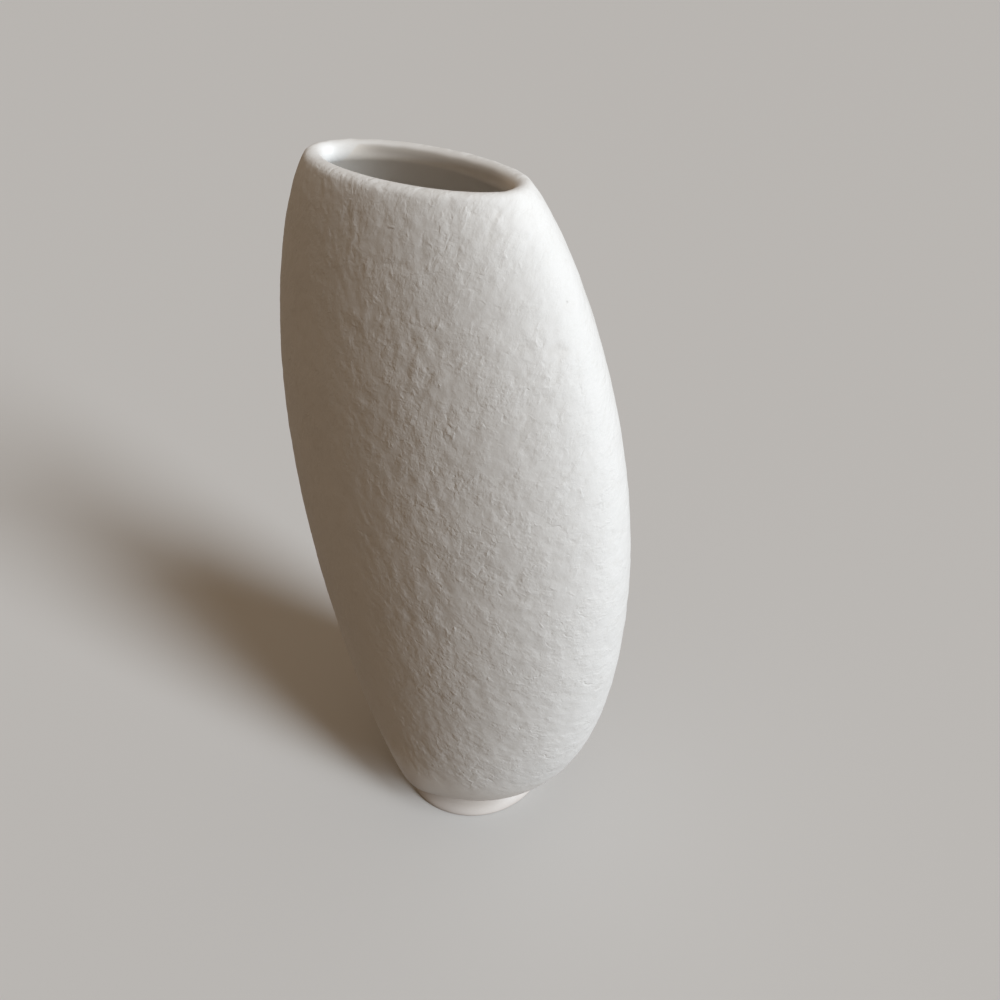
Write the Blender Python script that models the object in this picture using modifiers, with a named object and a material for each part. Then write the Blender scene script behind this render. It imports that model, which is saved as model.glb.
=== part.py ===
"""Bud vase, thrown round and squeezed flat, on a round foot.

Seen from the front the vase has the wide FRONT outline, from its end the slim SIDE outline, and every
section between is an oval. Each piece is turned from a profile of the front outline, as on a wheel, and
then one squeeze moves all of them to the oval, so pieces that meet on the wheel still meet afterwards.
Metres, +Z up, the foot stands on z = 0, and the vase is widest along X.

A place in the wall is given by two lengths, as a potter would measure it: how far along the outside of
the body it lies, counted from the edge of the foot, and how deep under the outside. A length below zero
lies under the floor, towards the middle.
"""

import math

import bpy
import numpy as np

# Overall sizes
HEIGHT = 0.190
FOOT_HEIGHT = 0.009
HALF_WIDTH = 0.055
HALF_WIDTH_AT = 0.109  # height of the widest place in the front outline
HALF_DEPTH = 0.0275
HALF_DEPTH_AT = 0.065  # height of the deepest place in the side outline
MOUTH_HALF_WIDTH = 0.0296  # to the crest of the lip
MOUTH_HALF_DEPTH = 0.0112

# How far each curve of the front outline keeps its first direction, and how steep its end is
FRONT_UNDERSIDE = 0.020
FRONT_BELOW = 0.050
FRONT_ABOVE = 0.039
FRONT_SHOULDER = 0.014
FRONT_LIP_AT = math.radians(45)  # place on the lip's round where the outline runs into it

# The same for the side outline
SIDE_UNDERSIDE = 0.010
SIDE_BELOW = 0.045
SIDE_ABOVE = 0.066
SIDE_SHOULDER = 0.009
SIDE_LIP_AT = math.radians(25)

MOUTH_POINT = 0.15  # how far the inside of the mouth draws in towards the two ends of the oval

# Layers of the wall, from the outside in
OUTER_GLAZE = 0.0007
CLAY = 0.0032
INNER_GLAZE = 0.0007
CLEARANCE = 0.0003

# Foot
FOOT_TOP_RADIUS = 0.0175
FOOT_BASE_RADIUS = 0.022
FOOT_INNER_RADIUS = 0.0165
FOOT_INNER_TOP_RADIUS = 0.0135
FOOT_EDGE_ROUND = 0.0008
FOOT_COVE = 0.0006  # how far the side of the foot is hollowed

# Joints
LAP = 0.003  # how far the floor's flange reaches over the wall
TONGUE_WIDTH = 0.0012
TONGUE_HEIGHT = 0.0013
FOOT_TONGUE_RADIUS = 0.0153
LIP_HEIGHT = 0.010  # along the outside, from the joint to where the lip's round begins

# Fineness
AROUND = 48
LOWER_ROWS = 12
UPPER_ROWS = 8
ROUND_STEPS = 6  # on each side of the lip's top
FINE = 400  # points to a curve where lengths along it are measured

# Depths of the layers' faces
CLAY_FACE = OUTER_GLAZE + CLEARANCE
CLAY_BACK = CLAY_FACE + CLAY
GLAZE_FACE = CLAY_BACK + CLEARANCE
WALL_BACK = GLAZE_FACE + INNER_GLAZE
LIP_RADIUS = WALL_BACK / 2
CLAY_MIDDLE = (CLAY_FACE + CLAY_BACK) / 2

NAME = "bud_vase"


def bezier(start, leave, arrive, end, count):
    """Points along a cubic curve from start to end, steered by the two middle points."""
    t = np.linspace(0, 1, count)[:, None]
    corners = [np.array(p) for p in (start, leave, arrive, end)]
    shares = ((1 - t) ** 3, 3 * (1 - t) ** 2 * t, 3 * (1 - t) * t**2, t**3)
    return sum(share * corner for share, corner in zip(shares, corners))


def arc(middle, radius, first, last, count):
    """Points (radius, height) on a round, from one angle to another."""
    angle = np.linspace(first, last, count)
    return np.stack([middle[0] + radius * np.cos(angle), middle[1] + radius * np.sin(angle)], 1)


def outline(widest, widest_at, underside, below, above, shoulder, mouth, lip_at):
    """Half of an outline of the body: a lower curve from foot to belly and an upper one to the lip.

    It leaves the foot level, stands upright at its widest place and runs into the lip's round.
    """
    foot = (FOOT_TOP_RADIUS, FOOT_HEIGHT)
    belly = (widest, widest_at)
    across, up = math.cos(lip_at), math.sin(lip_at)
    end = (mouth + LIP_RADIUS * across, HEIGHT - LIP_RADIUS + LIP_RADIUS * up)
    arrive = (end[0] + shoulder * up, end[1] - shoulder * across)
    lower = bezier(foot, (foot[0] + underside, foot[1]), (widest, widest_at - below), belly, FINE)
    upper = bezier(belly, (widest, widest_at + above), arrive, end, FINE)
    return np.vstack([lower, upper[1:]])


def directions(points):
    """Unit directions along an outline at each of its points. The first is level."""
    along = np.gradient(points, axis=0)
    along[0] = (1, 0)
    return along / np.hypot(along[:, 0], along[:, 1])[:, None]


def matched(side, front):
    """The side outline and its directions at the heights that go with the points of the front outline."""
    foot = front[0, 1]
    heights = foot + (front[:, 1] - foot) * (side[-1, 1] - foot) / (front[-1, 1] - foot)
    along = directions(side)
    points = np.stack([np.interp(heights, side[:, 1], side[:, 0]), heights], 1)
    turned_along = np.stack([np.interp(heights, side[:, 1], along[:, i]) for i in (0, 1)], 1)
    return points, turned_along / np.hypot(turned_along[:, 0], turned_along[:, 1])[:, None]


FRONT = outline(
    HALF_WIDTH,
    HALF_WIDTH_AT,
    FRONT_UNDERSIDE,
    FRONT_BELOW,
    FRONT_ABOVE,
    FRONT_SHOULDER,
    MOUTH_HALF_WIDTH,
    FRONT_LIP_AT,
)
FRONT_ALONG = directions(FRONT)
SIDE, SIDE_ALONG = matched(
    outline(
        HALF_DEPTH,
        HALF_DEPTH_AT,
        SIDE_UNDERSIDE,
        SIDE_BELOW,
        SIDE_ABOVE,
        SIDE_SHOULDER,
        MOUTH_HALF_DEPTH,
        SIDE_LIP_AT,
    ),
    FRONT,
)
STEPS = np.diff(FRONT, axis=0)
LENGTHS = np.concatenate([[0], np.cumsum(np.hypot(STEPS[:, 0], STEPS[:, 1]))])
BELLY_LENGTH = LENGTHS[FINE - 1]
LIP_STARTS = LENGTHS[-1] - LIP_HEIGHT


def place(length, depth):
    """(radius, height) of the place so far along the front outline and so deep under it."""
    on_curve = max(length, 0)
    point = np.array([np.interp(on_curve, LENGTHS, FRONT[:, i]) for i in (0, 1)])
    along = np.array([np.interp(on_curve, LENGTHS, FRONT_ALONG[:, i]) for i in (0, 1)])
    along /= np.hypot(*along)
    inward = np.array([-along[1], along[0]])
    return point + inward * depth + np.array([min(length, 0), 0])


def rows(first, last):
    """Lengths at which the pieces have their rings, closer together under the belly than above it."""
    share = np.linspace(0, 1, LOWER_ROWS + 1)
    lower = BELLY_LENGTH * share**1.5
    upper = np.linspace(BELLY_LENGTH, LIP_STARTS, UPPER_ROWS + 1)[1:]
    lip = np.linspace(LIP_STARTS, LENGTHS[-1], 4)[1:]
    inner = [v for v in np.concatenate([lower, upper, lip]) if first + 0.001 < v < last - 0.001]
    return [first, *inner, last]


def face(first, last, depth):
    """A run of places at one depth, from one length to another."""
    return [place(length, depth) for length in rows(first, last)]


def squeeze(points):
    """Moves turned points to the oval: along X they stay on the front outline, along Y on the side outline.

    Each point keeps its place: it goes with the nearest point of the front outline to the point of the
    side outline that belongs to it, at the same distance and on the same side of the curve. So the wall
    keeps its thickness. The foot goes with the edge of the foot, where the two outlines are one, and
    doesn't move.
    """
    x, y, z = points.T
    radius = np.hypot(x, y)
    angle = np.arctan2(y, x)
    nearest = np.hypot(radius[:, None] - FRONT[:, 0], z[:, None] - FRONT[:, 1]).argmin(1)
    nearest[z < FOOT_HEIGHT] = 0
    away = np.stack([radius, z], 1) - FRONT[nearest]
    along = (away * FRONT_ALONG[nearest]).sum(1)
    inward = away[:, 1] * FRONT_ALONG[nearest, 0] - away[:, 0] * FRONT_ALONG[nearest, 1]
    side_along = SIDE_ALONG[nearest]
    side_inward = np.stack([-side_along[:, 1], side_along[:, 0]], 1)
    side = SIDE[nearest] + along[:, None] * side_along + inward[:, None] * side_inward

    rise = np.clip((z - FOOT_HEIGHT) / (HEIGHT - FOOT_HEIGHT), 0, 1)
    depth = np.clip(inward / WALL_BACK, 0, 1)
    draw_in = 1 - MOUTH_POINT * rise * depth * np.cos(angle) ** 2
    level = z * np.cos(angle) ** 2 + side[:, 1] * np.sin(angle) ** 2
    return np.stack([radius * np.cos(angle), side[:, 0] * np.sin(angle) * draw_in, level], 1)


def material(name, colour, roughness):
    made = bpy.data.materials.new(name)
    made.use_nodes = True
    shader = made.node_tree.nodes["Principled BSDF"]
    shader.inputs["Base Color"].default_value = (*colour, 1)
    shader.inputs["Roughness"].default_value = roughness
    shader.inputs["Metallic"].default_value = 0
    made.diffuse_color = (*colour, 1)
    return made


def turned(collection, name, profile, finish):
    """Turns a profile of (radius, height) round the axis, squeezes it and names it.

    The profile runs up the inner side and down the outer side. It is closed on itself unless it starts
    on the axis.
    """
    profile = np.array(profile)
    count = len(profile)
    on_axis = profile[0, 0] < 1e-6
    edges = [(i, i + 1) for i in range(count - 1)]
    if not on_axis:
        edges.append((count - 1, 0))
    drawn = bpy.data.meshes.new(name + "_profile")
    drawn.from_pydata([(r, 0, z) for r, z in profile], edges, [])
    wheel = bpy.data.objects.new(name + "_profile", drawn)
    bpy.context.scene.collection.objects.link(wheel)
    screw = wheel.modifiers.new("turn", "SCREW")
    screw.axis = "Z"
    screw.steps = AROUND
    screw.render_steps = AROUND
    screw.use_merge_vertices = True
    screw.merge_threshold = 1e-5
    graph = bpy.context.evaluated_depsgraph_get()
    mesh = bpy.data.meshes.new_from_object(wheel.evaluated_get(graph))
    bpy.data.objects.remove(wheel)
    bpy.data.meshes.remove(drawn)

    flat = np.empty(len(mesh.vertices) * 3, np.float32)
    mesh.vertices.foreach_get("co", flat)
    mesh.vertices.foreach_set("co", squeeze(flat.reshape(-1, 3).astype(float)).astype(np.float32).ravel())
    mesh.name = name
    mesh.materials.clear()
    mesh.materials.append(finish)
    mesh.shade_smooth()
    mesh.update()
    piece = bpy.data.objects.new(name, mesh)
    collection.objects.link(piece)
    return piece


def foot_ring(collection):
    top = FOOT_HEIGHT + CLAY_FACE - CLEARANCE
    outer_top = FOOT_TOP_RADIUS - CLEARANCE
    edge = FOOT_EDGE_ROUND
    tongue = (FOOT_TONGUE_RADIUS - TONGUE_WIDTH / 2, FOOT_TONGUE_RADIUS + TONGUE_WIDTH / 2)
    side_foot = (FOOT_BASE_RADIUS, edge)
    cove = ((outer_top + FOOT_BASE_RADIUS) / 2 - FOOT_COVE, (top + edge) / 2)
    inner_round = arc((FOOT_INNER_RADIUS + edge, edge), edge, 1.5 * math.pi, math.pi, 4)
    outer_round = arc((FOOT_BASE_RADIUS - edge, edge), edge, 0, -0.5 * math.pi, 4)
    profile = [
        *inner_round,
        (FOOT_INNER_TOP_RADIUS, top),
        (tongue[0], top),
        (tongue[0], top + TONGUE_HEIGHT),
        (tongue[1], top + TONGUE_HEIGHT),
        (tongue[1], top),
        (outer_top, top),
        *bezier((outer_top, top), cove, cove, side_foot, 6)[1:-1],
        *outer_round,
    ]
    return turned(collection, "foot_ring", profile, material("foot_white", (0.80, 0.74, 0.69), 0.45))


def floor_disc(collection):
    under = place(0, CLAY_FACE)[1]
    groove = TONGUE_WIDTH / 2 + CLEARANCE
    profile = [
        (0, place(0, CLAY_BACK)[1]),
        *face(0, LAP - CLEARANCE, CLAY_BACK),
        *reversed(face(0, LAP - CLEARANCE, CLAY_MIDDLE + CLEARANCE)),
        place(-CLEARANCE, CLAY_MIDDLE + CLEARANCE),
        place(-CLEARANCE, CLAY_FACE),
        (FOOT_TONGUE_RADIUS + groove, under),
        (FOOT_TONGUE_RADIUS + groove, under + TONGUE_HEIGHT),
        (FOOT_TONGUE_RADIUS - groove, under + TONGUE_HEIGHT),
        (FOOT_TONGUE_RADIUS - groove, under),
        (0, under),
    ]
    return turned(collection, "floor_disc", profile, material("stoneware", (0.62, 0.53, 0.44), 0.85))


def body_wall(collection, clay):
    top = LIP_STARTS - CLEARANCE
    half = TONGUE_WIDTH / 2
    profile = [
        *face(LAP, top, CLAY_BACK),
        place(top, CLAY_MIDDLE + half),
        place(top + TONGUE_HEIGHT, CLAY_MIDDLE + half),
        place(top + TONGUE_HEIGHT, CLAY_MIDDLE - half),
        place(top, CLAY_MIDDLE - half),
        *reversed(face(0, top, CLAY_FACE)),
        place(0, CLAY_MIDDLE),
        place(LAP, CLAY_MIDDLE),
    ]
    return turned(collection, "body_wall", profile, clay)


def rim_lip(collection):
    start, end = LIP_STARTS, LENGTHS[-1]
    half = TONGUE_WIDTH / 2 + CLEARANCE
    middle = (MOUTH_HALF_WIDTH, HEIGHT - LIP_RADIUS)
    top = math.pi / 2
    profile = [
        *face(start, end, WALL_BACK),
        *arc(middle, LIP_RADIUS, FRONT_LIP_AT + math.pi, top, ROUND_STEPS + 1)[1:-1],
        *arc(middle, LIP_RADIUS, top, FRONT_LIP_AT, ROUND_STEPS // 2 + 1)[:-1],
        *reversed(face(start, end, 0)),
        place(start, CLAY_MIDDLE - half),
        place(start + TONGUE_HEIGHT, CLAY_MIDDLE - half),
        place(start + TONGUE_HEIGHT, CLAY_MIDDLE + half),
        place(start, CLAY_MIDDLE + half),
    ]
    return turned(collection, "rim_lip", profile, material("lip_white", (0.84, 0.82, 0.79), 0.40))


def outer_glaze(collection):
    top = LIP_STARTS - CLEARANCE
    profile = [*face(0, top, OUTER_GLAZE), *reversed(face(0, top, 0))]
    return turned(collection, "outer_glaze", profile, material("matte_white_glaze", (0.82, 0.80, 0.77), 0.70))


def inner_glaze(collection):
    top = LIP_STARTS - CLEARANCE
    profile = [
        (0, place(0, WALL_BACK)[1]),
        *face(0, top, WALL_BACK),
        *reversed(face(0, top, GLAZE_FACE)),
        (0, place(0, GLAZE_FACE)[1]),
    ]
    return turned(collection, "inner_glaze", profile, material("inner_beige_glaze", (0.66, 0.60, 0.52), 0.30))


def main():
    for old in list(bpy.data.objects):
        bpy.data.objects.remove(old, do_unlink=True)
    vase = bpy.data.collections.new(NAME)
    bpy.context.scene.collection.children.link(vase)
    foot_ring(vase)
    floor = floor_disc(vase)
    body_wall(vase, floor.data.materials[0])
    rim_lip(vase)
    outer_glaze(vase)
    inner_glaze(vase)


main()
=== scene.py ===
"""Bud vase: matte white wrinkled glaze over stoneware, a smooth thick lip and a small smooth foot.

The vase is thrown round and squeezed flat. A place in its wall is given by how far along the front outline
it lies, counted from the edge of the foot, how deep under the outside it is, and its heading round the axis.
Every new piece is a grid of such places. Lengths are metres, +Z is up, the vase is widest along X.
"""

import math

import bpy
import numpy as np
from mathutils import Matrix


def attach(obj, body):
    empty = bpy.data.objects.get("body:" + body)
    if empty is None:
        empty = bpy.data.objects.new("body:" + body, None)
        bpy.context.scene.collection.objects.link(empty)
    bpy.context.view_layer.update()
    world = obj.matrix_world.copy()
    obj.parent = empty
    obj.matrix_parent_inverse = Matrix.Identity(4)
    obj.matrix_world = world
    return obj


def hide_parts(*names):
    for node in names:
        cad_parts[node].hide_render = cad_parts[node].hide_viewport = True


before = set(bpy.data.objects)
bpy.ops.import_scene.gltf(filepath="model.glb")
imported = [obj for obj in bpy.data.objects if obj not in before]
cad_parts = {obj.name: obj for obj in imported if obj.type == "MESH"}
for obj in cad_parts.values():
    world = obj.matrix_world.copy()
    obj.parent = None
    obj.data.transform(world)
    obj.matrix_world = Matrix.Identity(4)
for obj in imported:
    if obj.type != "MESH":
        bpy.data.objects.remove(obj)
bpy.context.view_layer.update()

# Sizes of the body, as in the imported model
HEIGHT = 0.190
FOOT_HEIGHT = 0.009
HALF_WIDTH = 0.055
HALF_WIDTH_AT = 0.109
HALF_DEPTH = 0.0275
HALF_DEPTH_AT = 0.065
MOUTH_HALF_WIDTH = 0.0296
MOUTH_HALF_DEPTH = 0.0112
MOUTH_POINT = 0.15  # how much the mouth's inside is drawn in towards its ends
LIP_HEIGHT = 0.010
SEAM = 0.0003  # gap between two pieces inside the wall

# How far an outline's curves aim: out from the foot, below and above the widest place, and back from the lip
FRONT_CURVES = (0.020, 0.050, 0.039, 0.014)
SIDE_CURVES = (0.010, 0.045, 0.066, 0.009)

# Angle over the level at which an outline runs into the lip's round
FRONT_LIP_AT = math.radians(45)
SIDE_LIP_AT = math.radians(25)

# Depths under the outside, through the wall
OUTER_GLAZE = 0.0007
CLAY_FACE = 0.0010
CLAY_BACK = 0.0042
GLAZE_FACE = 0.0045
WALL_BACK = 0.0052
LIP_RADIUS = WALL_BACK / 2

# The underside of the lip: its edges, and the groove between them that fits over the clay
UNDER_IN = 0.0003  # from either face of the wall to an edge
UNDER_UP = 0.0001
GROOVE_IN = 0.0007  # from either face of the clay to a side of the groove
GROOVE_UP = 0.0012

# The low outside of both broad faces is fuller than the clay behind it
FULL = 0.00193  # how much
FULL_AT = 0.0103  # length along the outside
FULL_REACH = (0.0126, 0.309)  # along the outside, and round the axis in radians
FULL_GROWS = 0.004  # length above the foot over which it grows from nothing

# Foot ring
FOOT_TOP_RADIUS = 0.0175
FOOT_BASE_RADIUS = 0.022
FOOT_INNER_RADIUS = 0.0165
FOOT_INNER_TOP_RADIUS = 0.0135
FOOT_EDGE_ROUND = 0.0008
FOOT_SPREAD = 0.0003  # how much wider the glazed foot stands than the clay's
FOOT_SOFT_ROUND = 0.0009  # round of its outer edge on the floor
FOOT_LEAVES = (-0.0004, 0.0032)  # where the side's curve aims: radius over the base's, and height
FOOT_ARRIVES = (0.0190, 0.0052)  # radius and height from which it comes to the body
FOOT_TUCK = (0.00005, 0.00002)  # how far its top lies in and down from the body's first ring
FOOT_KEY = 0.0006  # how far the top of the foot reaches into the body
FOOT_HOLLOW_TOP = 0.0004  # height over the body's first ring where the hollow's side begins

# Numbers of points along the outlines and of rows and columns in the grids
FINE = 600
FINE_OVAL = 7201
AROUND = 400
COAT_ROWS = 222
LIP_ROWS = 22
TURN_ROWS = 29
INSIDE_ROWS = 150
FLOOR_ROWS = 24
COAT_BACK_ROWS = 22
BEHIND_ROWS = 40
BEHIND_FLOOR_ROWS = 8
FOOT_AROUND = 160
FOOT_EDGE_POINTS = 12
FOOT_SIDE_POINTS = 24
FOOT_INNER_EDGE_POINTS = 9

SEED = 11

# Where the white glaze ends inside the mouth
GLAZE_LINE = 0.0006  # how far below the top of the lip
PAINTED_HIGHLIGHT_RUN = 0.0035  # how much further down the white reaches at the end of the mouth that faces the light: a painted highlight
PAINTED_HIGHLIGHT_RUN_FROM = (0.80, 0.96)  # cosines of the heading between which it runs down
GLAZE_WAVES = (5.0, 0.0003)  # grain in millimetres and height in metres of the line's waves
GLAZE_EDGE = (-0.0003, 0.0005)  # softness of the line, above it and below it

# Where shade is painted on the inner glaze under the brim, along the long sides of the mouth
PAINTED_BRIM_SHADE = (0.0014, 0.0032)  # how far below the top of the lip it begins to fade, and is gone
PAINTED_BRIM_SHADE_FROM = (0.45, 0.85)  # sines of the heading between which it sets in

# Wrinkles: the grain of each part in millimetres, and its depth in metres
BROAD = (8.0, 0.00006)
PLATES = (4.2, 0.000115)
SMALL = (2.1, 0.00010)
CREASES = (3.9, 0.00010)
CREASE_WIDTH = 0.17  # how near to zero the creases' noise is in one
BEND = (3.1, 1.6)  # grain of the bend, and how far it moves a place, in millimetres
SHORT_BREAKS = (3.4, 0.02, 0.30)  # grain of a noise, and the values between which it lets creases show
LONG_BREAKS = (11.0, -0.30, 0.25)
SINK = 0.00015  # how far the middle of the wrinkles lies under the outside

# Where the wrinkles fade, in lengths along the outside: past the start of the lip's round, and from the foot
LIP_FADE = (0.0020, 0.0042)
FOOT_FADE = (0.016, 0.036)
UNEVEN = (4.0, 0.0011)  # grain in millimetres and reach in metres of the uneven line at the lip
UNEVEN_AT_FOOT = 4  # how many times more it reaches at the foot

# Colours
INSIDE = (0.84, 0.805, 0.755)
INSIDE_PALE = (0.87, 0.84, 0.795)
# painted shade on the inner slope under the brim
INSIDE_PAINTED_BRIM_SHADE = (0.50, 0.47, 0.43)
INSIDE_SPECK = (0.40, 0.34, 0.27)
WHITE = (0.805, 0.795, 0.775)
WHITE_PALE = (0.83, 0.82, 0.80)
WHITE_SMOOTH = (0.84, 0.83, 0.81)
# painted shade for the creases and the hollows of the fine bump
WHITE_PAINTED_CREASE_SHADE = (0.52, 0.47, 0.40)
WHITE_PIT = (0.25, 0.21, 0.17)
# painted shade low on the body, where the belly turns down towards the foot
WHITE_PAINTED_LOW_SHADE = (0.60, 0.54, 0.47)
FOOT = (0.60, 0.56, 0.53)
FOOT_PALE = (0.65, 0.61, 0.575)
FOOT_AT_FLOOR = (0.56, 0.47, 0.39)
# painted shade in the cove under the body
FOOT_PAINTED_COVE_SHADE = (0.42, 0.38, 0.34)
CLAY = (0.58, 0.485, 0.395)
CLAY_PALE = (0.66, 0.57, 0.475)
CLAY_GROG = (0.36, 0.27, 0.20)

# Shares of the darker colours in the white glaze: painted shade in the creases, in the hollows of the fine
# bump and low on the body near the foot, and the pits
PAINTED_CREASE_SHADE_SHARE = 0.11
PAINTED_HOLLOW_SHADE_SHARE = 0.075
PIT_SHARE = 0.16
PAINTED_LOW_SHADE_SHARE = 0.75
PAINTED_LOW_SHADE_FROM = (0.012, 0.036)  # heights between which the painted shade low on the body fades out

# Bump of the white glaze, in millimetres
FINE_BUMP = 0.100
GRIT_BUMP = 0.036
PIT_BUMP = 0.06

# Flakes in that bump: how many to a millimetre, their tilt, and their rise in millimetres
WIDE_FLAKES = (0.40, 0.096, 0.024)
SMALL_FLAKES = (0.85, 0.064, 0.008)
FLAKE_BEND = (1.1, 1.6)  # how much finer the bend is than the flakes, and its size in flakes
FLAKE_EDGE = 0.34  # how wide the edge is over which a flake falls to nothing, in flakes


def bezier(start, leave, arrive, end, count):
    """Points along a cubic curve: the four points weighted by (1-t)^3, 3(1-t)^2 t, 3(1-t)t^2 and t^3."""
    t = np.linspace(0, 1, count)[:, None]
    corners = [np.array(p) for p in (start, leave, arrive, end)]
    shares = ((1 - t) ** 3, 3 * (1 - t) ** 2 * t, 3 * (1 - t) * t**2, t**3)
    return sum(share * corner for share, corner in zip(shares, corners))


def arc(middle, radius, first, last, count):
    """Points on a round: its middle plus the radius times the cosine and sine of even angles."""
    angle = np.linspace(first, last, count)
    return np.stack([middle[0] + radius * np.cos(angle), middle[1] + radius * np.sin(angle)], 1)


def outline(widest, widest_at, curves, mouth, lip_at):
    """Half of an outline of the body: one cubic curve from foot to belly and one from belly to lip.

    It leaves the foot level, stands upright at its widest place and runs into the lip's round where that has
    turned up by the angle lip_at.
    """
    underside, below, above, shoulder = curves
    foot = (FOOT_TOP_RADIUS, FOOT_HEIGHT)
    belly = (widest, widest_at)
    across, up = math.cos(lip_at), math.sin(lip_at)
    end = (mouth + LIP_RADIUS * across, HEIGHT - LIP_RADIUS + LIP_RADIUS * up)
    arrive = (end[0] + shoulder * up, end[1] - shoulder * across)
    lower = bezier(foot, (foot[0] + underside, foot[1]), (widest, widest_at - below), belly, FINE)
    upper = bezier(belly, (widest, widest_at + above), arrive, end, FINE)
    return np.vstack([lower, upper[1:]])


def unit(vectors):
    """Vectors divided by their own lengths."""
    return vectors / np.linalg.norm(vectors, axis=-1, keepdims=True)


def directions(points):
    """Unit differences between the neighbours of each point of an outline. The first is level."""
    along = np.gradient(points, axis=0)
    along[0] = (1, 0)
    return unit(along)


def read(values, wanted, at):
    """Columns of a table read at the wanted places by straight lines between its rows."""
    return np.stack([np.interp(wanted, at, column) for column in values.T], -1)


def step(values, low, high):
    """0 below low, 1 above high and 3t^2 - 2t^3 between them."""
    share = np.clip((values - low) / (high - low), 0, 1)
    return share * share * (3 - 2 * share)


FRONT = outline(HALF_WIDTH, HALF_WIDTH_AT, FRONT_CURVES, MOUTH_HALF_WIDTH, FRONT_LIP_AT)
FRONT_ALONG = directions(FRONT)
SIDE_DRAWN = outline(HALF_DEPTH, HALF_DEPTH_AT, SIDE_CURVES, MOUTH_HALF_DEPTH, SIDE_LIP_AT)
SIDE_HEIGHTS = FOOT_HEIGHT + (FRONT[:, 1] - FOOT_HEIGHT) * (SIDE_DRAWN[-1, 1] - FOOT_HEIGHT) / (
    FRONT[-1, 1] - FOOT_HEIGHT
)
SIDE = read(SIDE_DRAWN, SIDE_HEIGHTS, SIDE_DRAWN[:, 1])
SIDE_ALONG = unit(read(directions(SIDE_DRAWN), SIDE_HEIGHTS, SIDE_DRAWN[:, 1]))
LENGTHS = np.concatenate([[0], np.cumsum(np.hypot(*np.diff(FRONT, axis=0).T))])
LIP_STARTS = LENGTHS[-1] - LIP_HEIGHT


def even_headings(count):
    """Headings that cut the belly's oval into equal lengths, read from the running length of a fine oval."""
    fine = np.linspace(0, 2 * math.pi, FINE_OVAL)
    oval = np.stack([HALF_WIDTH * np.cos(fine), HALF_DEPTH * np.sin(fine)], 1)
    run = np.concatenate([[0], np.cumsum(np.hypot(*np.diff(oval, axis=0).T))])
    return np.interp(np.arange(count) * run[-1] / count, run, fine)


HEADINGS = even_headings(AROUND)


def fullness(lengths):
    """Swelling low on the broad faces.

    It is exp(-(t/reach)^2) along the outside from FULL_AT, times the same round from each face's middle. Just
    over the foot it grows from nothing.
    """
    aside = np.arccos(np.abs(np.sin(HEADINGS)))
    along = np.exp(-(((lengths - FULL_AT) / FULL_REACH[0]) ** 2)) * step(lengths, 0, FULL_GROWS)
    return FULL * along[:, None] * np.exp(-((aside / FULL_REACH[1]) ** 2))


def wall(lengths, depths, past=0.0):
    """Places in the squeezed wall, one row of the grid for each length along the front outline.

    A row's point of an outline is the outline's point, plus past along the outline, plus depth across it to
    the inside. The front outline gives X as radius times cosine of the heading, the side outline gives Y as
    radius times sine, and the height goes over from one to the other with the squared cosine. The inside of
    the mouth is drawn in towards the two ends by a share that grows with height and depth.
    """
    lengths = np.asarray(lengths, float)[:, None]
    if np.ndim(depths) == 1:
        depths = np.reshape(depths, (-1, 1))
    depths = np.broadcast_to(depths, (lengths.size, AROUND))
    past = np.reshape(np.broadcast_to(past, lengths.size), (-1, 1))
    across, up = np.cos(HEADINGS), np.sin(HEADINGS)
    drawn = []
    for line, line_along in ((FRONT, FRONT_ALONG), (SIDE, SIDE_ALONG)):
        point = read(line, lengths[:, 0], LENGTHS)[:, None]
        along = unit(read(line_along, lengths[:, 0], LENGTHS))[:, None]
        inward = np.stack([-along[..., 1], along[..., 0]], -1)
        drawn.append(point + past[..., None] * along + depths[..., None] * inward)
    front, side = drawn
    rise = np.clip((front[..., 1] - FOOT_HEIGHT) / (HEIGHT - FOOT_HEIGHT), 0, 1)
    draw_in = 1 - MOUTH_POINT * rise * np.clip(depths / WALL_BACK, 0, 1) * across**2
    level = front[..., 1] * across**2 + side[..., 1] * up**2
    return np.stack([front[..., 0] * across, side[..., 0] * up * draw_in, level], -1)


def noise(points, seed):
    """Smooth random heights from about -0.7 to 0.7, with a grain of about one unit.

    Each corner of a lattice of unit cubes has a random direction. A point's height is the sum over the
    eight corners of its cube of the direction's product with the way from the corner to the point, weighted
    by 6t^5 - 15t^4 + 10t^3 along each axis.
    """
    count = 256
    random = np.random.default_rng(seed)
    order = random.permutation(count)
    slopes = unit(random.normal(size=(count, 3)))
    cell = np.floor(points).astype(int)
    part = points - cell
    fade = part**3 * (part * (part * 6 - 15) + 10)
    total = np.zeros(points.shape[:-1])
    for corner in np.ndindex(2, 2, 2):
        pick = 0
        for axis in range(3):
            pick = order[(pick + cell[..., axis] + corner[axis]) % count]
        weight = np.prod(np.where(corner, fade, 1 - fade), axis=-1)
        total += weight * (slopes[pick] * (part - corner)).sum(-1)
    return total


# How the wrinkles lie: upright at this height, leaning one way below it and the other way above it
LEAN_TURNS_AT = 0.090
LEAN = 150.0  # growth of the twist with height, radians per metre squared
LEAN_GROWS = 0.010  # how far down the twist still grows
STRETCH = (1.12, 0.20)  # share of a height that counts at the foot, and how much less of it at the mouth


def grain(points):
    """Millimetre coordinates in which the wrinkles have no direction.

    With d the way down from LEAN_TURNS_AT, the points are turned round the axis by -LEAN d^2/2. Deeper than
    d = LEAN_GROWS the angle grows evenly with d. Heights count for less near the mouth.
    """
    x, y, z = np.moveaxis(points, -1, 0)
    down = LEAN_TURNS_AT - z
    curved = np.minimum(down, LEAN_GROWS)
    angle = -LEAN * curved * (down - curved / 2)
    cos, sin = np.cos(angle), np.sin(angle)
    low = STRETCH[0] * z - STRETCH[1] / 2 * z**2 / HEIGHT
    return 1000 * np.stack([x * cos - y * sin, x * sin + y * cos, low], -1)


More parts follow.
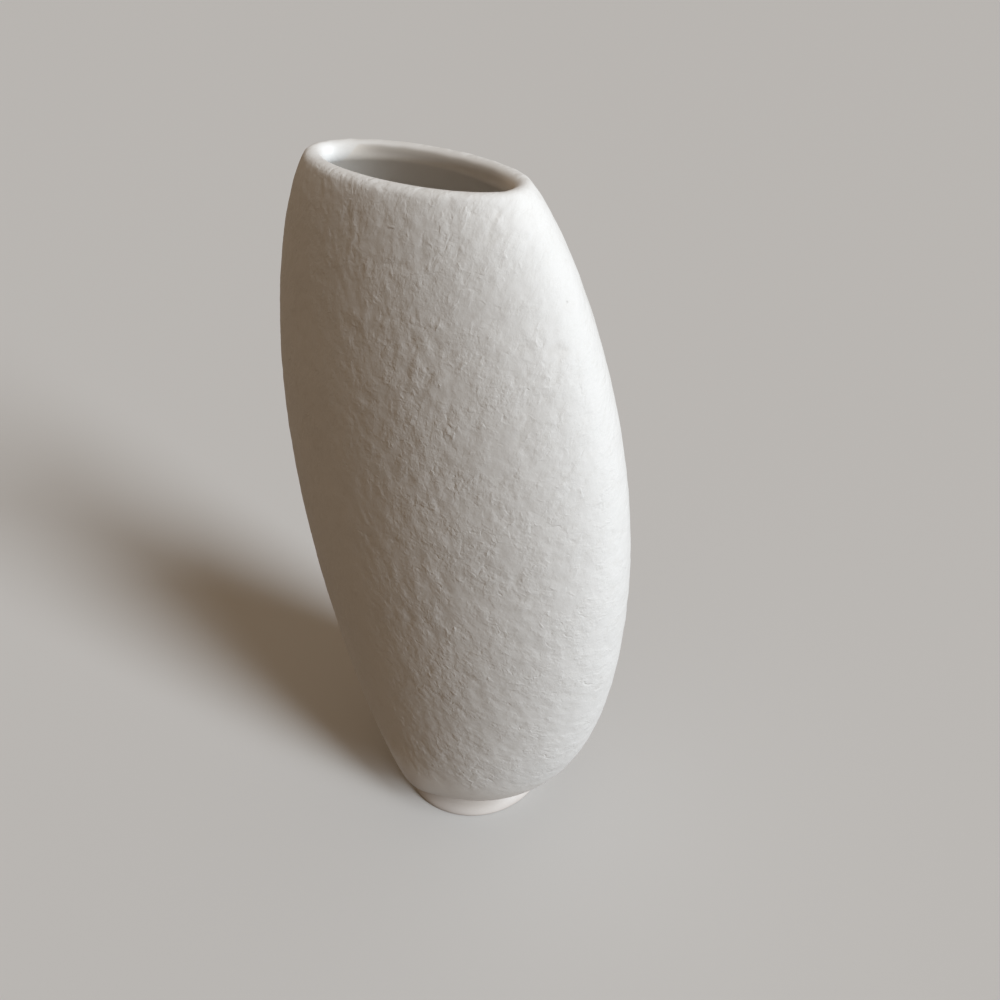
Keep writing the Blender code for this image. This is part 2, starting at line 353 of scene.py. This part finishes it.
def relief(points, run):
    """How far the wrinkled glaze lies under the outside, how creased each place is, and how smooth.

    The height is the sum of a broad noise and two finer ones on bent coordinates, each times its depth, less
    the creases. Those lie where a bent noise n is near zero, as exp(-(n/w)^2), in the places that two more
    noises leave open. All of it fades out before the lip and the foot, along an uneven line.
    """
    at = grain(points)
    bend = np.stack([noise(at / BEND[0], SEED + i) for i in range(3)], -1)
    bent = at + BEND[1] * bend
    broad = noise(at / BROAD[0], SEED + 3)
    plates = noise(bent / PLATES[0], SEED + 4)
    small = noise(bent / SMALL[0], SEED + 5)
    lines = noise(bent / CREASES[0], SEED + 6)
    short_gaps = step(noise(at / SHORT_BREAKS[0], SEED + 7), *SHORT_BREAKS[1:])
    long_gaps = step(noise(at / LONG_BREAKS[0], SEED + 8), *LONG_BREAKS[1:])
    crease = np.exp(-((lines / CREASE_WIDTH) ** 2)) * (short_gaps * long_gaps)
    uneven = UNEVEN[1] * noise(at / UNEVEN[0], SEED + 9)
    mouth = step(run[:, None] + uneven, LENGTHS[-1] + LIP_FADE[0], LENGTHS[-1] + LIP_FADE[1])
    foot = 1 - step(run[:, None] + UNEVEN_AT_FOOT * uneven, *FOOT_FADE)
    smooth = np.maximum(mouth, foot)
    height = BROAD[1] * broad + PLATES[1] * plates + SMALL[1] * small - CREASES[1] * crease
    return (SINK - height) * (1 - smooth), crease * (1 - smooth), smooth


def normals_of(points):
    """Unit normals of a grid closed round its columns: the cross product of its two central differences."""
    around = np.roll(points, -1, 1) - np.roll(points, 1, 1)
    return unit(np.cross(around, np.gradient(points, axis=0)))


def closed_faces(rows, columns, joined):
    """Four-sided faces of a grid closed round its columns, and from last row to first if joined."""
    row = np.arange(rows if joined else rows - 1)[:, None]
    column = np.arange(columns)[None]
    after, above = (column + 1) % columns, (row + 1) % rows
    corners = (
        row * columns + column,
        row * columns + after,
        above * columns + after,
        above * columns + column,
    )
    return np.stack([np.broadcast_to(c, (len(row), columns)) for c in corners], -1).reshape(-1, 4)


def fan(ring, pole, up):
    """Three-sided faces from a ring of points to a pole, looking up or down."""
    after = np.roll(ring, -1)
    edge = [ring, after] if up else [after, ring]
    return np.stack([*edge, np.full_like(ring, pole)], 1)


def piece(name, rings, normals, finish, node, fields=(), poles=()):
    """A closed piece from rings of points, up the outside and down the inside.

    Normals are pairs of a ring's number and the normals given from it on. Fields are rows of a name, a kind,
    a ring's number and the values from it on. Poles are the heights on the axis to which the first and last
    rings close. Without them the last ring joins the first.
    """
    rows, columns = rings.shape[:2]
    points = rings.reshape(-1, 3)
    faces = closed_faces(rows, columns, not poles).tolist()
    if poles:
        points = np.vstack([points, [[0, 0, z] for z in poles]])
        faces += fan(np.arange(columns), rows * columns, up=False).tolist()
        faces += fan(np.arange(columns) + (rows - 1) * columns, rows * columns + 1, up=True).tolist()
    mesh = bpy.data.meshes.new(name)
    mesh.from_pydata(points.tolist(), [], faces)
    mesh.update()
    mesh.shade_smooth()
    kept = np.empty(len(points) * 3, np.float32)
    mesh.vertex_normals.foreach_get("vector", kept)
    kept = kept.reshape(-1, 3)
    for start, given in normals:
        kept[start * columns : start * columns + given.shape[0] * columns] = given.reshape(-1, 3)
    mesh.normals_split_custom_set_from_vertices(kept.tolist())
    for key, kind, start, values in fields:
        size = 3 if kind == "FLOAT_VECTOR" else 1
        whole = np.zeros((len(points), size), np.float32)
        whole[start * columns : start * columns + values.shape[0] * columns] = values.reshape(-1, size)
        attribute = mesh.attributes.new(key, kind, "POINT")
        attribute.data.foreach_set("vector" if size == 3 else "value", whole.ravel())
    mesh.materials.append(finish)
    made = bpy.data.objects.new(name, mesh)
    bpy.context.scene.collection.objects.link(made)
    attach(made, "root")
    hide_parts(node)


class Value:
    """A socket of a material's nodes, so that sums on it are written as sums."""

    def __init__(self, finish, socket):
        self.finish = finish
        self.socket = socket

    def maths(self, operation, *values):
        """The result of one step of arithmetic."""
        return self.finish.node("ShaderNodeMath", {"operation": operation}, dict(enumerate(values)))

    def other(self, output):
        """Another output of the same node."""
        return Value(self.finish, self.socket.node.outputs[output])

    def __add__(self, other):
        return self.maths("ADD", self, other)

    def __sub__(self, other):
        return self.maths("SUBTRACT", self, other)

    def __rsub__(self, other):
        return self.maths("SUBTRACT", other, self)

    def __mul__(self, other):
        return self.maths("MULTIPLY", self, other)

    __radd__ = __add__
    __rmul__ = __mul__


class Finish:
    """A material and the few ways in which its nodes are added."""

    def __init__(self, name):
        self.material = bpy.data.materials.new(name)
        self.material.use_nodes = True
        self.tree = self.material.node_tree
        self.shader = self.tree.nodes["Principled BSDF"]

    def node(self, kind, settings=None, sockets=None, output=0):
        """One output of a new node with these settings, and with these values in its sockets."""
        made = self.tree.nodes.new(kind)
        for key, value in (settings or {}).items():
            setattr(made, key, value)
        for key, value in (sockets or {}).items():
            self.give(made.inputs[key], value)
        return Value(self, made.outputs[output])

    def give(self, target, value):
        """Link a socket to a value, or write a colour or a number into it."""
        if isinstance(value, Value):
            self.tree.links.new(value.socket, target)
        elif target.type == "RGBA":
            target.default_value = (*value, 1)
        else:
            target.default_value = value

    def set(self, **sockets):
        """Give the shader's sockets their values."""
        for key, value in sockets.items():
            self.give(self.shader.inputs[key.replace("_", " ")], value)

    def field(self, name, output="Fac"):
        """A field that the piece's points carry."""
        return self.node("ShaderNodeAttribute", {"attribute_name": name}, output=output)

    def noise(self, at, scale, detail, rough=0.5, bend=0.0):
        """Heights from 0 to 1: noises that double in fineness, each weaker than the last by rough."""
        sockets = {"Vector": at, "Scale": scale, "Detail": detail, "Roughness": rough, "Distortion": bend}
        return self.node("ShaderNodeTexNoise", {}, sockets)

    def vector(self, operation, first, second, output=0):
        """The result of one step of arithmetic on vectors."""
        return self.node("ShaderNodeVectorMath", {"operation": operation}, {0: first, 1: second}, output)

    def flakes(self, at, scale, tilt, rise):
        """Plates of a cell pattern on bent coordinates.

        A plate's height is the product of its own random slope with the way from its middle, times tilt, plus
        its own random level times rise. Towards its edge it falls to nothing.
        """
        finer, size = FLAKE_BEND
        middle = (0.5, 0.5, 0.5)
        bend = self.vector("SUBTRACT", self.noise(at, scale * finer, 1.0).other("Color"), middle)
        at = self.vector("ADD", at, self.vector("MULTIPLY", bend, (size / scale,) * 3))
        cells = {"Vector": at, "Scale": scale}
        own = self.node("ShaderNodeTexVoronoi", {"feature": "F1"}, cells, "Color")
        edge = self.node("ShaderNodeTexVoronoi", {"feature": "DISTANCE_TO_EDGE"}, cells)
        slope = self.vector("SUBTRACT", own, middle)
        away = self.vector("SUBTRACT", at, own.other("Position"))
        level = self.vector("DOT_PRODUCT", slope, away, "Value") * tilt
        level = level + self.node("ShaderNodeSeparateColor", {}, {"Color": own}) * rise
        return level * self.ease(edge, 0.0, FLAKE_EDGE)

    def ease(self, value, low, high, first=0.0, last=1.0):
        """first below low, last above high, and 3t^2 - 2t^3 of the way from one to the other between them."""
        sockets = {0: value, 1: low, 2: high, 3: first, 4: last}
        return self.node("ShaderNodeMapRange", {"interpolation_type": "SMOOTHSTEP"}, sockets)

    def mix(self, share, first, second):
        """first plus the share of the way to second."""
        return self.node("ShaderNodeMix", {"data_type": "RGBA"}, {0: share, 6: first, 7: second}, 2)

    def bump(self, height, distance):
        """Normals as if the surface stood out by height times distance."""
        return self.node("ShaderNodeBump", {}, {"Height": height, "Distance": distance, "Strength": 1.0})


def glaze_finish():
    """Matte white glaze: flaked and pitted where it is wrinkled, smooth at the lip, with painted shade in its
    creases and hollows, low near the foot and under the brim inside.

    Its patterns lie on the grain field in millimetres. Only the pits lie on the place itself, in metres.
    """
    made = Finish("matte_white_glaze")
    at = made.field("grain", "Vector")
    crease = made.field("crease")
    smooth = made.field("smooth")
    rough = 1 - smooth

    place = made.node("ShaderNodeTexCoord", output="Object")
    fine = made.noise(at, 0.60, 3.0, 0.6)
    grit = made.noise(at, 1.6, 2.0, 0.6)
    flakes = made.flakes(at, *WIDE_FLAKES) + made.flakes(at, *SMALL_FLAKES)
    patches = made.ease(made.noise(at, 0.13, 2.0, 0.5, 0.6), 0.36, 0.60, 0.45, 1.0) * rough
    cells = made.node("ShaderNodeTexVoronoi", {"feature": "F1"}, {"Vector": place, "Scale": 110.0})
    pits = made.ease(cells, 0.018, 0.034, 1.0, 0.0) * rough
    height = (fine * FINE_BUMP + flakes + grit * GRIT_BUMP) * patches - pits * PIT_BUMP
    drift = made.noise(at, 0.06, 2.0, 0.5)

    white = made.mix(made.ease(drift, 0.35, 0.65), WHITE, WHITE_PALE)
    # Painted shade in the creases and in the hollows of the fine bump noise
    low = made.ease(fine, 0.32, 0.50, 1.0, 0.0) + made.ease(grit, 0.30, 0.50, 1.0, 0.0)
    colour = made.mix(crease * PAINTED_CREASE_SHADE_SHARE + low * patches * PAINTED_HOLLOW_SHADE_SHARE, white, WHITE_PAINTED_CREASE_SHADE)
    colour = made.mix(pits * PIT_SHARE, colour, WHITE_PIT)
    colour = made.mix(smooth, colour, WHITE_SMOOTH)
    up = made.node("ShaderNodeSeparateXYZ", {}, {"Vector": place}, output="Z")
    # Painted shade low on the body, where the belly turns down towards the foot
    painted_low_shade = made.ease(up + made.noise(at, 0.10, 2.0, 0.5) * 0.006, *PAINTED_LOW_SHADE_FROM, PAINTED_LOW_SHADE_SHARE, 0.0)
    colour = made.mix(painted_low_shade, colour, WHITE_PAINTED_LOW_SHADE)
    # Painted shade on the inner glaze under the brim, along the long sides of the mouth
    painted_brim_shade = made.ease(up, HEIGHT - PAINTED_BRIM_SHADE[1], HEIGHT - PAINTED_BRIM_SHADE[0]) * made.field("painted_brim_shade")
    colour = made.mix(made.field("inside"), colour, made.mix(painted_brim_shade, INSIDE, INSIDE_PAINTED_BRIM_SHADE))
    made.set(
        Base_Color=colour,
        Roughness=made.ease(smooth, 0.0, 1.0, 0.80, 0.42),
        Normal=made.bump(height, 0.001),
    )
    return made.material


def inner_finish():
    """Satin beige glaze inside, a little uneven."""
    made = Finish("inner_beige_glaze")
    at = made.node("ShaderNodeTexCoord", output="Object")
    drift = made.noise(at, 60.0, 3.0, 0.5)
    specks = made.noise(at, 700.0, 2.0, 0.6)
    colour = made.mix(made.ease(drift, 0.3, 0.7), INSIDE, INSIDE_PALE)
    colour = made.mix(made.ease(specks, 0.60, 0.74, 0.0, 0.3), colour, INSIDE_SPECK)
    made.set(
        Base_Color=colour,
        Roughness=made.ease(drift, 0.3, 0.7, 0.30, 0.42),
        Normal=made.bump(made.noise(at, 250.0, 2.0, 0.5), 0.0002),
    )
    return made.material


def foot_finish():
    """Smooth pinkish white foot: faintly ringed from turning, darker and rougher at the floor, with painted
    shade in the cove under the body.
    """
    made = Finish("foot_white")
    at = made.node("ShaderNodeTexCoord", output="Object")
    height = made.node("ShaderNodeSeparateXYZ", {}, {"Vector": at}, output="Z")
    drift = made.noise(at, 90.0, 3.0, 0.55)
    # Darker and rougher in its lowest millimetres, at the floor
    at_floor = made.ease(height + drift * 0.0012, 0.0006, 0.0022, 1.0, 0.0)
    # Painted shade in the cove under the body, towards the top of the foot
    painted_cove_shade = made.ease(height + drift * 0.0008, 0.0020, 0.0055, 0.0, 0.5)
    colour = made.mix(made.ease(drift, 0.3, 0.7), FOOT, FOOT_PALE)
    colour = made.mix(at_floor * 0.45, colour, FOOT_AT_FLOOR)
    colour = made.mix(painted_cove_shade, colour, FOOT_PAINTED_COVE_SHADE)
    rings = made.noise(made.node("ShaderNodeCombineXYZ", {}, {"Z": height}), 1400.0, 1.0, 0.5)
    made.set(
        Base_Color=colour,
        Roughness=made.ease(at_floor, 0.0, 1.0, 0.45, 0.8),
        Normal=made.bump(rings + made.noise(at, 900.0, 2.0, 0.5) * 0.6, 0.00004),
    )
    return made.material


def clay_finish():
    """Bare fired clay: warm buff with fine grog."""
    made = Finish("stoneware")
    at = made.node("ShaderNodeTexCoord", output="Object")
    drift = made.noise(at, 80.0, 3.0, 0.6)
    grog = made.node("ShaderNodeTexVoronoi", {"feature": "F1"}, {"Vector": at, "Scale": 900.0})
    colour = made.mix(made.ease(drift, 0.3, 0.7), CLAY, CLAY_PALE)
    colour = made.mix(made.ease(grog, 0.12, 0.24, 0.5, 0.0), colour, CLAY_GROG)
    made.set(
        Base_Color=colour,
        Roughness=made.ease(drift, 0.3, 0.7, 0.80, 0.92),
        Normal=made.bump(made.noise(at, 1200.0, 3.0, 0.6), 0.0001),
    )
    return made.material


def vase_pieces():
    """The two coats and the lip, cut from one continuous surface so that no seam shows.

    The surface's rows go up the outside, over the lip's round, down the inside and in over the floor. Those
    up to the top of the round are sunk along their normals by the relief. The fields that the glaze reads
    are the grain, how creased and how smooth a place is, whether it lies inside, and whether it lies along a
    long side of the mouth, where shade is painted under the brim.
    """
    end = LENGTHS[-1]
    coat = np.linspace(0, LIP_STARTS, COAT_ROWS)
    lip = np.linspace(LIP_STARTS, end, LIP_ROWS)[1:]
    turn = np.linspace(0, math.pi, TURN_ROWS)[1:]
    down = np.linspace(end, 0, INSIDE_ROWS)[1:]
    floor = np.linspace(0, -FOOT_TOP_RADIUS, FLOOR_ROWS)[1:-1]
    up_rows = np.zeros(coat.size + lip.size)
    down_rows = np.zeros(down.size)
    floor_rows = np.zeros(floor.size)
    lengths = np.concatenate([coat, lip, np.full(turn.size, end), down, floor_rows])
    back = np.full(down.size + floor.size, WALL_BACK)
    depths = np.concatenate([up_rows, LIP_RADIUS * (1 - np.cos(turn)), back])
    past = np.concatenate([up_rows, LIP_RADIUS * np.sin(turn), down_rows, floor])
    run = lengths + LIP_RADIUS * np.concatenate([up_rows, turn, down_rows, floor_rows])

    outside = coat.size + lip.size + turn.size // 2
    full_depths = np.repeat(depths[:, None], AROUND, 1)
    full_depths -= np.where(depths < LIP_RADIUS, 1, 0)[:, None] * fullness(lengths)
    points = wall(lengths, full_depths, past)
    sunk, crease, smooth = relief(points[:outside], run[:outside])
    points[:outside] -= sunk[..., None] * normals_of(points)[:outside]
    normals = normals_of(points)

    fill = np.ones((points.shape[0] - outside, AROUND))
    crease = np.concatenate([crease, 0 * fill])
    smooth = np.concatenate([smooth, fill])
    mesh_grain = grain(points)
    # The white reaches further down at the end of the mouth that faces the light: a painted highlight there
    glaze_ends = GLAZE_LINE + PAINTED_HIGHLIGHT_RUN * step(-np.cos(HEADINGS), *PAINTED_HIGHLIGHT_RUN_FROM)
    glaze_ends = glaze_ends + GLAZE_WAVES[1] * noise(1000 * points / GLAZE_WAVES[0], SEED + 20)
    inside = step(HEIGHT - points[..., 2] - glaze_ends, *GLAZE_EDGE) * (depths > LIP_RADIUS)[:, None]
    # Where the painted shade under the brim lies: along the long sides of the mouth
    painted_brim_shade = step(np.abs(np.sin(HEADINGS)), *PAINTED_BRIM_SHADE_FROM) * np.ones(inside.shape)

    def fields(first, last):
        return (
            ("grain", "FLOAT_VECTOR", 0, mesh_grain[first:last]),
            ("crease", "FLOAT", 0, crease[first:last]),
            ("smooth", "FLOAT", 0, smooth[first:last]),
            ("inside", "FLOAT", 0, inside[first:last]),
            ("painted_brim_shade", "FLOAT", 0, painted_brim_shade[first:last]),
        )

    glaze = glaze_finish()
    back = np.linspace(LIP_STARTS - SEAM, 0, COAT_BACK_ROWS)
    rings = np.concatenate([points[: coat.size], wall(back, np.full(back.size, OUTER_GLAZE))])
    piece(
        "coat_outside",
        rings,
        [(0, normals[: coat.size])],
        glaze,
        "outer_glaze",
        fields(0, coat.size),
    )

    lip_first = coat.size - 1
    lip_last = coat.size + lip.size + turn.size + np.searchsorted(-down, -LIP_STARTS)
    under = wall(
        [LIP_STARTS] * 4,
        [WALL_BACK - UNDER_IN, CLAY_BACK - GROOVE_IN, CLAY_FACE + GROOVE_IN, UNDER_IN],
        [UNDER_UP, SEAM + GROOVE_UP, SEAM + GROOVE_UP, UNDER_UP],
    )
    rings = np.concatenate([points[lip_first : lip_last + 1], under])
    piece(
        "lip",
        rings,
        [(0, normals[lip_first : lip_last + 1])],
        glaze,
        "rim_lip",
        fields(lip_first, lip_last + 1),
    )

    behind_floor = np.linspace(-FOOT_TOP_RADIUS, 0, BEHIND_FLOOR_ROWS)[1:-1]
    behind = np.linspace(0, lengths[lip_last] - SEAM, BEHIND_ROWS)
    rings = np.concatenate(
        [
            wall([0] * behind_floor.size, np.full(behind_floor.size, GLAZE_FACE), behind_floor),
            wall(behind, np.full(behind.size, GLAZE_FACE)),
            points[lip_last:],
        ]
    )
    start = behind_floor.size + behind.size
    piece(
        "coat_inside",
        rings,
        [(start, normals[lip_last:])],
        inner_finish(),
        "inner_glaze",
        poles=(FOOT_HEIGHT + GLAZE_FACE, FOOT_HEIGHT + WALL_BACK),
    )


def foot():
    """The foot ring: its section of (radius, height) turned round the axis.

    The section goes from the floor round the soft edge, up the side, over the top and down the hollow inside.
    """
    edge = FOOT_EDGE_ROUND
    soft = FOOT_SOFT_ROUND
    base = FOOT_BASE_RADIUS + FOOT_SPREAD
    inner_top = FOOT_INNER_TOP_RADIUS
    top = (FOOT_TOP_RADIUS - FOOT_TUCK[0], FOOT_HEIGHT - FOOT_TUCK[1])
    leave = (base + FOOT_LEAVES[0], FOOT_LEAVES[1])
    key = FOOT_HEIGHT + FOOT_KEY
    hollow = (inner_top, FOOT_HEIGHT + FOOT_HOLLOW_TOP)
    section = np.vstack(
        [
            arc((base - soft, soft), soft, -0.5 * math.pi, 0, FOOT_EDGE_POINTS),
            bezier((base, soft), leave, FOOT_ARRIVES, top, FOOT_SIDE_POINTS)[1:],
            [(FOOT_TOP_RADIUS - FOOT_KEY, key), (inner_top, key)],
            np.linspace(hollow, (FOOT_INNER_RADIUS, edge), FOOT_EDGE_POINTS),
            arc((FOOT_INNER_RADIUS + edge, edge), edge, math.pi, 1.5 * math.pi, FOOT_INNER_EDGE_POINTS)[1:],
        ]
    )
    heading = np.linspace(0, 2 * math.pi, FOOT_AROUND, endpoint=False)
    rings = np.stack(
        [
            section[:, :1] * np.cos(heading),
            section[:, :1] * np.sin(heading),
            np.repeat(section[:, 1:], heading.size, 1),
        ],
        -1,
    )
    piece("foot", rings, [], foot_finish(), "foot_ring")


# The key light stands for a tall window: heights in degrees above the floor with their strengths
KEY = ((16, 1.42), (30, 1.38), (48, 0.88))
KEY_HEADING = 5  # where it stands, in degrees round the axis from +X
KEY_SOFTNESS = 16  # how wide each part of the window looks from the vase, in degrees
KEY_COLOUR = (0.865, 0.935, 1.0)

# The dim light all round, the floor and the background
SKY_COLOUR = (1.0, 0.755, 0.53)
SKY_STRENGTH = 0.240
BACKDROP = (0.68, 0.665, 0.64)  # what the camera sees past the floor
FLOOR_SEEN = (0.68, 0.67, 0.655)
FLOOR_LIT = (0.10, 0.063, 0.034)  # what the floor sends back to the vase, as a darker table would
FLOOR_HALF = 6.0  # half of its side


def studio():
    """A pale floor, a tall soft window of three lamps to the right and a dim warm light all round."""
    scene = bpy.context.scene
    scene.view_settings.view_transform = "Standard"

    floor = Finish("studio_floor")
    seen = floor.node("ShaderNodeLightPath", output="Is Camera Ray") + floor.node(
        "ShaderNodeLightPath", output="Is Glossy Ray"
    )
    floor.set(Base_Color=floor.mix(seen, FLOOR_LIT, FLOOR_SEEN), Roughness=0.9)
    floor.shader.inputs["Specular IOR Level"].default_value = 0.1
    mesh = bpy.data.meshes.new("floor")
    side = FLOOR_HALF
    corners = [(-side, -side, 0), (side, -side, 0), (side, side, 0), (-side, side, 0)]
    mesh.from_pydata(corners, [], [(0, 1, 2, 3)])
    mesh.materials.append(floor.material)
    ground = bpy.data.objects.new("floor", mesh)
    scene.collection.objects.link(ground)

    for number, (height, strength) in enumerate(KEY):
        lamp = bpy.data.lights.new(f"key_{number}", "SUN")
        lamp.energy = strength
        lamp.color = KEY_COLOUR
        lamp.angle = math.radians(KEY_SOFTNESS)
        key = bpy.data.objects.new(lamp.name, lamp)
        key.rotation_euler = (0, math.radians(90 - height), math.radians(KEY_HEADING))
        scene.collection.objects.link(key)

    world = bpy.data.worlds.new("surround")
    scene.world = world
    world.use_nodes = True
    tree = world.node_tree
    tree.nodes.clear()
    out = tree.nodes.new("ShaderNodeOutputWorld")
    mix = tree.nodes.new("ShaderNodeMixShader")
    backdrop = tree.nodes.new("ShaderNodeBackground")
    backdrop.inputs["Color"].default_value = (*BACKDROP, 1)
    light = tree.nodes.new("ShaderNodeBackground")
    light.inputs["Color"].default_value = (*SKY_COLOUR, 1)
    light.inputs["Strength"].default_value = SKY_STRENGTH
    path = tree.nodes.new("ShaderNodeLightPath")
    tree.links.new(path.outputs["Is Camera Ray"], mix.inputs[0])
    tree.links.new(light.outputs[0], mix.inputs[1])
    tree.links.new(backdrop.outputs[0], mix.inputs[2])
    tree.links.new(mix.outputs[0], out.inputs["Surface"])


def camera():
    """The photograph's viewpoint: placed by its position, its forward and its up directions."""
    data = bpy.data.cameras.new("camera")
    data.sensor_width = 36
    data.lens = 32.4
    data.clip_start = 0.01
    made = bpy.data.objects.new("camera", data)
    position = (0.14326, -0.12301, 0.24201)
    forward = np.array((-0.57216, 0.56774, -0.59186))
    up = np.array((-0.37063, 0.46477, 0.80413))
    right = np.cross(forward, up)
    matrix = np.eye(4)
    matrix[:3, :3] = np.stack([unit(right), unit(up), -unit(forward)], 1)
    matrix[:3, 3] = position
    made.matrix_world = Matrix(matrix.tolist())
    bpy.context.scene.collection.objects.link(made)
    bpy.context.scene.camera = made


camera()
vase_pieces()
foot()
clay = clay_finish()
for name in ("body_wall", "floor_disc"):
    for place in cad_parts[name].material_slots:
        place.material = clay
studio()
